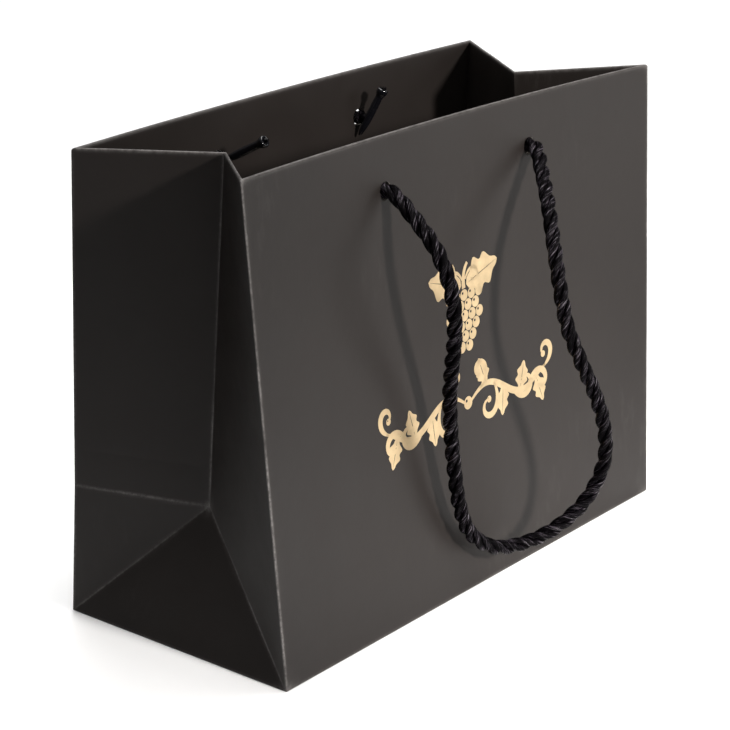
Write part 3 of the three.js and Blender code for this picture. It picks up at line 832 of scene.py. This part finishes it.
class GIFTBAG_OT_handles(bpy.types.Operator):
    """Adds both twisted ropes: a leg through each hole and a loop that hangs between the legs"""

    bl_idname = "giftbag.handles"
    bl_label = "Rope handles"

    def execute(self, context):
        s = context.scene.gift_bag_sizes
        holes = hole_centres(s)
        for name, route, inside in (("front", FRONT_ROUTE, 1), ("back", BACK_ROUTE, -1)):
            ends = [h + np.array([0, inside * HEM_STACK, 0]) for h in holes[name]]
            mouths = [h - np.array([0, inside * ROPE_STRAIGHT, 0]) for h in holes[name]]
            line = RopeLine(np.vstack([ends[0], mouths[0], route, mouths[1], ends[1]]))
            straight = HEM_STACK + ROPE_STRAIGHT
            cuts = (straight + LEG_REACH, line.total - straight - LEG_REACH)
            for side, start, end, hole in (("left", 0.0, cuts[0], holes[name][0]),
                                           ("right", cuts[1], line.total, holes[name][1])):
                leg = self.add_rope(f"{name}_rope_leg_{side}", line, start, end, s)
                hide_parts(f"{name}_rope_tail_{side}", f"{name}_rope_root_{side}")
                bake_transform(leg)
            loop = self.add_rope(f"{name}_rope", line, *cuts, s)
            path = line.sample(np.linspace(*cuts, 120))[0]
            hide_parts(f"{name}_rope_loop")
            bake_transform(loop)
            print(name, "rope", round(line.total * 1000, 1), "mm")
        return {"FINISHED"}

    def add_rope(self, name, line, start, end, s):
        points, faces, uv = rope_mesh(line, start, end, s)
        piece = add_piece(name, points, faces, [finishes()["rope"]], uv=uv)
        piece.data.set_sharp_from_angle(angle=math.radians(75))
        return piece


TOGGLE_PROFILE = np.array([  # share of the radius, share of the length
    [0, 0], [0.2, 0.002], [0.34, 0.01], [0.5, 0.05], [0.66, 0.11], [0.84, 0.2], [0.96, 0.3], [1, 0.42],
    [0.99, 0.56], [0.95, 0.7], [0.92, 0.79], [0.93, 0.82], [1.02, 0.85], [1.2, 0.88], [1.32, 0.905],
    [1.36, 0.93], [1.36, 0.955], [1.31, 0.972], [1.2, 0.98], [1.08, 0.982], [0.98, 0.975], [0, 0.965],
])
# The collar and the fibres: millimetres from the middle, share of the length.
COLLAR_PROFILE = np.array([
    [0, -0.1], [1.2, 0.0], [1.75, 0.25], [1.95, 0.55], [1.9, 0.85], [1.5, 1.05], [0, 1.12],
])
FIBRE_PROFILE = np.array([[0, 0], [0.11, 0], [0.10, 0.5], [0.05, 1], [0, 1]])
FIBRES = 34


def turned(profile, foot, direction, sides):
    """A profile of (radius, height), turned about the line from foot along direction; its ends are poles."""
    direction = unit(direction)
    across = unit(np.cross(direction, [0, 0, 1] if abs(direction[2]) < 0.9 else [1, 0, 0]))
    angle = np.linspace(0, 2 * math.pi, sides, endpoint=False)
    ring = np.cos(angle)[:, None] * across + np.sin(angle)[:, None] * np.cross(direction, across)
    body = profile[1:-1]
    points, index = wound(foot + body[:, 1, None, None] * direction + body[:, 0, None, None] * ring[None])
    first, last = len(points), len(points) + 1
    faces = quads(index).tolist()
    faces += [[first, index[0, k + 1], index[0, k]] for k in range(sides)]
    faces += [[last, index[-1, k], index[-1, k + 1]] for k in range(sides)]
    poles = foot + profile[[0, -1], 1, None] * direction
    return np.vstack([points, poles]), faces


class GIFTBAG_OT_toggles(bpy.types.Operator):
    """Adds the moulded toggles that stop the ropes inside the bag"""

    bl_idname = "giftbag.toggles"
    bl_label = "Toggles"

    def execute(self, context):
        s = context.scene.gift_bag_sizes
        holes = hole_centres(s)
        draw = np.random.default_rng(SEED)
        for name, inside in (("front", 1), ("back", -1)):
            for i, side in enumerate(("left", "right")):
                direction, before, off = TOGGLES[name][i]
                direction = unit(direction)
                end = holes[name][i] + np.array([0, inside * HEM_STACK, 0])
                middle = end + np.array([0, inside * off, 0])
                foot = middle - direction * s.toggle_length * before
                bar = turned(TOGGLE_PROFILE * [s.toggle_radius, s.toggle_length], foot, direction, 28)
                # A collar that grips the rope's cut end, and cut fibres in the flared end.
                to_rope = end - middle
                strands = [turned(COLLAR_PROFILE * [MM, np.linalg.norm(to_rope)], middle, to_rope, 24)]
                head = foot + direction * s.toggle_length * 0.96
                for _ in range(FIBRES):
                    lean = draw.normal(size=3) * 0.28
                    spot = draw.normal(size=3) * 0.5 * MM
                    spot -= direction * (spot @ direction)
                    fibre = FIBRE_PROFILE * [MM, (0.9 + 1.1 * draw.random()) * MM]
                    strands.append(turned(fibre, head + spot, direction + lean, 5))
                points, faces = joined([bar, *strands])
                kinds = np.arange(len(faces)) >= len(bar[1])
                piece = add_piece(f"{name}_toggle_bar_{side}", points, faces,
                                  [finishes()["toggle"], finishes()["rope"]], kinds)
                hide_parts(f"{name}_toggle_{side}")
                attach(piece, "bag")
        return {"FINISHED"}


class GIFTBAG_OT_sheet(bpy.types.Operator):
    """Adds the folded sheet: one skin of walls, gussets, rolled top and turned-in hem, with punched holes"""

    bl_idname = "giftbag.sheet"
    bl_label = "Folded sheet"

    def execute(self, context):
        s = context.scene.gift_bag_sizes
        corners, points, faces = sheet_shell(s)
        f = finishes()
        sheet = add_piece("folded_sheet", points, faces, [f["laminate"], f["reverse"], f["core"]])
        add_point_value(sheet, "fold_wear_and_highlight", fold_wear_and_highlight(points, corners))
        add_point_value(sheet, "top_rub_and_highlight", top_rub_and_highlight(points, s))
        rounding = sheet.modifiers.new("rounding", "SUBSURF")
        rounding.levels = rounding.render_levels = 1
        rounding.boundary_smooth = "PRESERVE_CORNERS"
        wall = sheet.modifiers.new("paper", "SOLIDIFY")
        wall.thickness = s.paper
        wall.offset = 0
        wall.use_even_offset = True
        wall.material_offset = 1
        wall.material_offset_rim = 2
        skins = ["front_panel", "back_panel_lower", "back_panel_upper", "front_hem", "back_hem"]
        for side in ("left", "right"):
            skins += [f"{side}_gusset_{part}" for part in ("front", "back", "side_triangle", "base_triangle")]
            skins += [f"{side}_hem_front", f"{side}_hem_back"]
        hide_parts(*skins)
        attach(sheet, "bag")
        return {"FINISHED"}


# ---- Foil vine ----
FOIL_FILM = 0.03 * MM
FOIL_GAP = 0.012 * MM
GRAPES_AT = (0, 110)  # millimetres along the front and up from its foot
SCROLL_AT = (0, 72.5)


def ribbon(path, width):
    """A flat strip along a path of (x, z), with half its width on each side."""
    step = unit(np.gradient(path, axis=0))
    out = np.stack([-step[:, 1], step[:, 0]], -1)
    return np.stack([path - out * width[:, None] / 2, path, path + out * width[:, None] / 2])


def curl(start, heading, length, turn, tighten, steps=40):
    """A path that leaves start at a heading and turns ever faster, as a tendril does."""
    t = np.linspace(0, 1, steps)
    angle = heading + turn * t + tighten * t**2
    step = np.stack([np.cos(angle), np.sin(angle)], -1) * length / (steps - 1)
    return np.array(start) + np.vstack([[0, 0], np.cumsum(step[:-1], axis=0)])


def leaf(start, heading, length, width):
    """Two halves of a leaf with the vein left open between them."""
    t = np.linspace(0, 1, 22)
    direction = np.array([math.cos(heading), math.sin(heading)])
    out = np.array([-direction[1], direction[0]])
    spine = np.array(start) + t[:, None] * length * direction
    lobes = np.sin(math.pi * t) ** 0.75 * (1 + 0.22 * np.cos(6 * math.pi * t)) * (1.15 - 0.4 * t)
    halves = []
    for sign in (-1, 1):
        near = spine + sign * out * 0.16 * np.sin(math.pi * t)[:, None]
        far = spine + sign * out * (0.16 * np.sin(math.pi * t) + width * lobes / 2)[:, None]
        middle = (near + far) / 2 + direction * 0.3 * np.sin(math.pi * t)[:, None]
        halves.append(np.stack([near, middle, far] if sign > 0 else [far, middle, near]))
    return halves


def berry(centre, radius):
    """A round with an off-centre open spot, where the light would catch it."""
    angle = np.linspace(0, -2 * math.pi, 29)
    outer = np.stack([np.cos(angle), np.sin(angle)], -1) * radius
    inner = np.array([-0.36, 0.36]) * radius + outer * 0.24
    return np.array(centre) + np.stack([inner, (inner + outer) / 2, outer])


def emblem_strips():
    """A bunch of grapes under two leaves, all in millimetres from the emblem's middle."""
    strips = []
    for row, count in enumerate((5, 4, 5, 4, 3, 2)):
        for k in range(count):
            strips.append(berry(((k - (count - 1) / 2) * 4.7, 5.4 - row * 4.05), 2.25))
    strips += leaf((1.6, 9.4), math.radians(16), 21.0, 13.5)
    strips += leaf((-1.6, 9.4), math.radians(164), 21.0, 13.5)
    stem = curl((0, 8.0), math.radians(98), 10.5, -0.5, -0.5)
    strips.append(ribbon(stem, np.linspace(2.2, 1.4, len(stem))))
    for sign in (-1, 1):
        path = curl((sign * 1.0, 11.5), math.radians(90 - sign * 28), 17, -sign * 1.4, -sign * 4.2)
        strips.append(ribbon(path, 0.45 + 0.9 * np.sin(np.linspace(0.35, math.pi, len(path)))))
    return strips


def vine_height(share):
    return 5.0 * math.sin(2.2 * math.pi * share) * (1 - 0.25 * share)


def scroll_strips():
    """A vine scroll: a long wave of a stem, tendrils that curl off it in turn, leaves and berries."""
    strips = []
    stroke = lambda n, thin, wide: thin + (wide - thin) * np.sin(np.linspace(0.1, math.pi - 0.05, n)) ** 1.1
    share = np.linspace(0, 1, 90)
    heights = np.array([vine_height(v) for v in share])
    for sign in (-1, 1):
        stem = np.stack([sign * (1.5 + 50 * share), heights], -1)
        stem = stem if sign > 0 else stem[::-1]
        strips.append(ribbon(stem, stroke(90, 0.9, 2.9)))
        for place, heading, length, turn, tighten in (
            (8, 40, 21, 0.9, 4.6), (17, -62, 27, -0.9, -4.7), (29, -46, 24, 0.8, 4.4),
            (39, 52, 24, -0.8, -4.4), (50, 24, 20, 1.2, 4.2),
        ):
            angle = math.radians(heading)
            if sign < 0:
                angle, turn, tighten = math.pi - angle, -turn, -tighten
            path = curl((sign * place, vine_height((place - 1.5) / 50)), angle, length, turn, tighten)
            strips.append(ribbon(path, stroke(len(path), 0.6, 2.7)))
            strips.append(berry(path[-1], 1.35))
        for place, heading in ((12, 112), (23, -96), (34, 74), (45, -70)):
            angle = math.radians(heading) if sign > 0 else math.pi - math.radians(heading)
            strips += leaf((sign * place, vine_height((place - 1.5) / 50)), angle, 12.0, 7.0)
    strips.append(berry((0, 0), 2.6))
    return strips


class GIFTBAG_OT_foil(bpy.types.Operator):
    """Adds the foil vine on the front: a bunch of grapes over a scroll"""

    bl_idname = "giftbag.foil"
    bl_label = "Foil vine"

    def execute(self, context):
        s = context.scene.gift_bag_sizes
        front = bag_patches(s)[1][0]
        lift = np.array([0, -1.0, 0.06]) * (s.paper / 2 + FOIL_GAP)
        for name, strips, centre in (("foil_grapes", emblem_strips(), GRAPES_AT),
                                     ("foil_scroll", scroll_strips(), SCROLL_AT)):
            parts = []
            for grid in strips:
                flat = (grid + np.array(centre)) * MM
                share = flat[..., 1] / front.fold_a[1][2]
                p = front.wall(flat[..., 0] / width_at(share, s) + 0.5, share) + lift
                index = np.arange(p[..., 0].size).reshape(p.shape[:2])
                parts.append((p.reshape(-1, 3), quads(index).tolist()))
            piece = add_piece(name, *joined(parts), [finishes()["foil"]])
            faces = len(piece.data.polygons)
            piece.data.polygons.foreach_set("use_smooth", np.zeros(faces, bool))
            normals = np.zeros(faces * 3, np.float32)
            piece.data.polygons.foreach_get("normal", normals)
            if normals.reshape(-1, 3)[:, 1].mean() > 0:
                piece.data.flip_normals()
            film = piece.modifiers.new("film", "SOLIDIFY")
            film.thickness = FOIL_FILM
            film.offset = 1
            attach(piece, "bag")
        return {"FINISHED"}


class GIFTBAG_OT_boards(bpy.types.Operator):
    """Gives the base flaps, the side seam, the top cards and the base board their finishes"""

    bl_idname = "giftbag.boards"
    bl_label = "Base and boards"

    def execute(self, context):
        f = finishes()
        for finish, names in (
            ("laminate", ("base_flap_front", "base_flap_back")),
            ("reverse", ("base_flap_left", "base_flap_right", "side_seam_flap")),
            ("greyboard", ("front_top_card", "back_top_card", "base_board")),
        ):
            for name in names:
                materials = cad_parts[name].data.materials
                materials.clear()
                materials.append(f[finish])
        return {"FINISHED"}


# ---- Stage ----
CAMERA_PLACE = (-0.6263, -0.4999, 0.3535)
CAMERA_AXES = ((0.62759, -0.77854, -0.00413), (0.25522, 0.20072, 0.94582), (-0.73552, -0.59464, 0.32467))
LENS = 105.2
SENSOR = 36
VIEW_ANGLE = math.radians(38.9)  # the overhead lights lie along the line of sight
# Each area light: name, where it stands, what it points at (none: straight down), its two sides, spread in
# degrees, power, colour.
LIGHTS = (
    ("table_light", (0.02, 0.0, 0.80), None, (0.95, 0.42), 75, 2.3, (1.0, 0.99, 0.98)),
    ("backdrop_light", (0.95, 0.78, 1.0), None, (1.5, 1.3), 120, 11.5, (1.0, 1.0, 1.0)),
    ("right_fill", (0.85, -0.95, 0.35), (0.05, 0, 0.08), (0.6, 0.6), 180, 6.0, (1.0, 0.99, 0.97)),
)
KEY_PLACE = (-0.02, -1.95, 0.87)
KEY_AIM = (0.055, 0.0, 0.055)
KEY_POWER = 395.0
KEY_RADIUS = 0.14
KEY_CONE = 14.0  # degrees
KEY_COLOUR = (1.0, 0.955, 0.92)
WORLD_LIGHT = 0.14
WORLD_COLOUR = (0.96, 0.98, 1.0)
FLOOR_HALF = 6.0
FLOOR_GREY = (0.93, 0.93, 0.93)


def add_light(name, kind, place, aim, power, colour, **settings):
    """A light that points at aim, or straight down and turned to the line of sight."""
    light = bpy.data.lights.new(name, kind)
    light.energy = power
    light.color = colour
    for key, value in settings.items():
        setattr(light, key, value)
    obj = bpy.data.objects.new(name, light)
    obj.location = place
    obj.rotation_euler = (0, 0, VIEW_ANGLE)
    if aim:
        obj.rotation_euler = (Vector(aim) - Vector(place)).to_track_quat("-Z", "Y").to_euler()
    bpy.context.scene.collection.objects.link(obj)


class GIFTBAG_OT_stage(bpy.types.Operator):
    """Adds the floor, the soft studio lights and the camera"""

    bl_idname = "giftbag.stage"
    bl_label = "Stage"

    def execute(self, context):
        scene = context.scene
        camera = bpy.data.objects.new("camera", bpy.data.cameras.new("camera"))
        camera.data.lens = LENS
        camera.data.sensor_width = SENSOR
        right, up, back = (Vector(v) for v in CAMERA_AXES)
        turn = Matrix((right, up, back)).transposed().to_4x4()
        camera.matrix_world = Matrix.Translation(CAMERA_PLACE) @ turn
        scene.collection.objects.link(camera)
        scene.camera = camera
        for name, place, aim, sides, spread, power, colour in LIGHTS:
            add_light(name, "AREA", place, aim, power, colour, shape="RECTANGLE",
                      size=sides[0], size_y=sides[1], spread=math.radians(spread))
        add_light("key", "SPOT", KEY_PLACE, KEY_AIM, KEY_POWER, KEY_COLOUR, shadow_soft_size=KEY_RADIUS,
                  spot_size=math.radians(KEY_CONE), spot_blend=1.0)
        scene.world = bpy.data.worlds.new("studio")
        scene.world.use_nodes = True
        sky = scene.world.node_tree.nodes["Background"].inputs
        sky["Color"].default_value = (*WORLD_COLOUR, 1)
        sky["Strength"].default_value = WORLD_LIGHT
        scene.view_settings.view_transform = "Standard"
        paint = Finish("pale_floor", FLOOR_GREY, 0.6)
        shade = paint.ranged(paint.noise(3, 2), 0.3, 0.7)
        paint.to(paint.mixed(shade, (0.92, 0.92, 0.92), (0.94, 0.94, 0.94)), "Base Color")
        corners = [(x * FLOOR_HALF, y * FLOOR_HALF, 0) for x, y in ((-1, -1), (1, -1), (1, 1), (-1, 1))]
        floor = add_piece("floor", corners, [(0, 1, 2, 3)], [paint.material])
        return {"FINISHED"}


class GIFTBAG_PT_panel(bpy.types.Panel):
    """Sizes, colours and the steps that make the bag"""

    bl_idname = "GIFTBAG_PT_panel"
    bl_label = "Gift bag"
    bl_space_type = "VIEW_3D"
    bl_region_type = "UI"
    bl_category = "Gift Bag"

    def draw(self, context):
        for step in STEPS:
            self.layout.operator(step.bl_idname)
        for group in (context.scene.gift_bag_sizes, context.scene.gift_bag_colours):
            for name in group.bl_rna.properties.keys():
                if name not in {"rna_type", "name"}:
                    self.layout.prop(group, name)


STEPS = (GIFTBAG_OT_stage, GIFTBAG_OT_handles, GIFTBAG_OT_toggles, GIFTBAG_OT_sheet, GIFTBAG_OT_foil,
         GIFTBAG_OT_boards)
CLASSES = (GiftBagSizes, GiftBagColours, *STEPS, GIFTBAG_PT_panel)


def register():
    for cls in CLASSES:
        bpy.utils.register_class(cls)
    bpy.types.Scene.gift_bag_sizes = PointerProperty(type=GiftBagSizes)
    bpy.types.Scene.gift_bag_colours = PointerProperty(type=GiftBagColours)


def unregister():
    del bpy.types.Scene.gift_bag_sizes
    del bpy.types.Scene.gift_bag_colours
    for cls in reversed(CLASSES):
        bpy.utils.unregister_class(cls)


def main():
    register()
    for step in STEPS:
        getattr(bpy.ops.giftbag, step.bl_idname.split(".")[1])()


if __name__ == "__main__":
    main()
